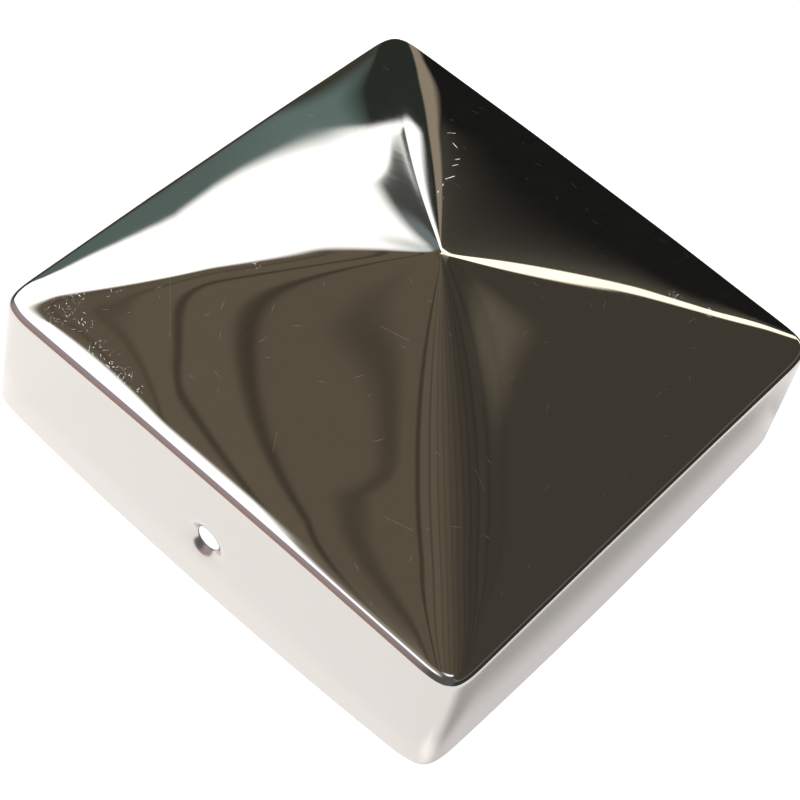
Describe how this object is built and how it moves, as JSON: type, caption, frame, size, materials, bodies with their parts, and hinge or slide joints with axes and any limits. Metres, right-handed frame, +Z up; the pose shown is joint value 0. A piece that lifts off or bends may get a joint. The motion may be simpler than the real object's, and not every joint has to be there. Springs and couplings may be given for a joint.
{
  "type": "post cap",
  "caption": "Polished stainless post cap, deep drawn from sheet: a low pyramid with a flared skirt that goes over a square timber post and is fixed by screws through dimpled holes.",
  "frame": {"origin": "centre of the cap in plan, at the lowest level of its rim", "axes": "+Z up along the post, +Y from the front side with its screw hole towards the back side"},
  "size_m": [0.0944, 0.0944, 0.0425],
  "materials": {
    "polished_steel": "mirror polished stainless sheet with faint polishing lines and light scratches"
  },
  "bodies": {
    "root": {"post_cap": "polished_steel"}
  },
  "joints": []
}
